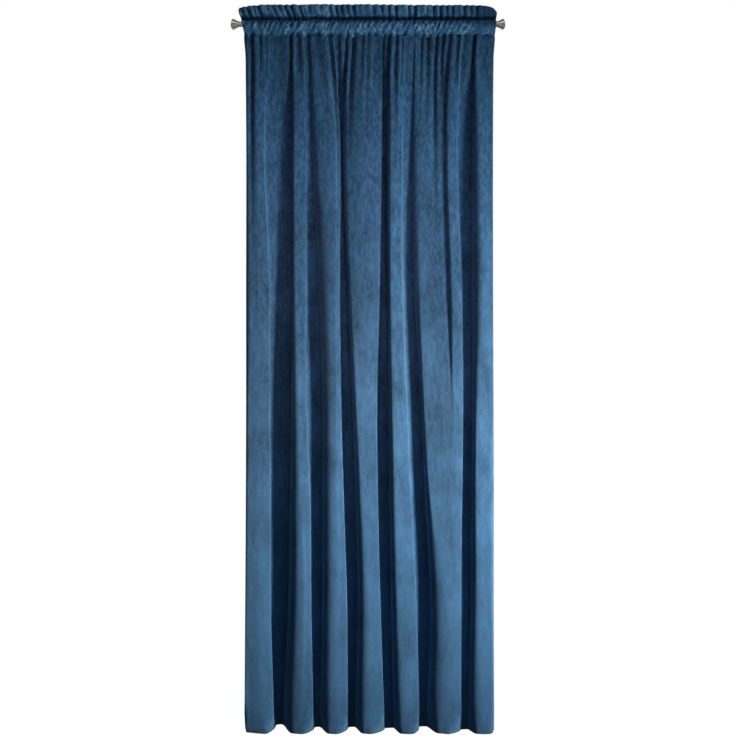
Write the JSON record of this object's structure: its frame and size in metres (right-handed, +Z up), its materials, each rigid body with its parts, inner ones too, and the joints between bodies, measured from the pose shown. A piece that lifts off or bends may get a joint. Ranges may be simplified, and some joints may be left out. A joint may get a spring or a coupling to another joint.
{
  "type": "velvet curtain on a rod",
  "caption": "Full-length blue velvet curtain with a ruffled rod-pocket heading, gathered on a slim metal rod with trumpet finials.",
  "frame": {"origin": "on the rod's axis, halfway along the rod", "axes": "+X right along the rod, +Y back towards the wall, +Z up"},
  "size_m": [0.945, 0.0943, 2.4982],
  "materials": {
    "velvet": "short-pile velvet, matt in the hollows with a pale sheen along the folds",
    "satin_nickel": "satin nickel plate with fine turning marks"
  },
  "bodies": {
    "root": {"curtain_panel": "velvet", "rod": "satin_nickel", "finial_left": "satin_nickel", "finial_right": "satin_nickel"}
  },
  "joints": []
}
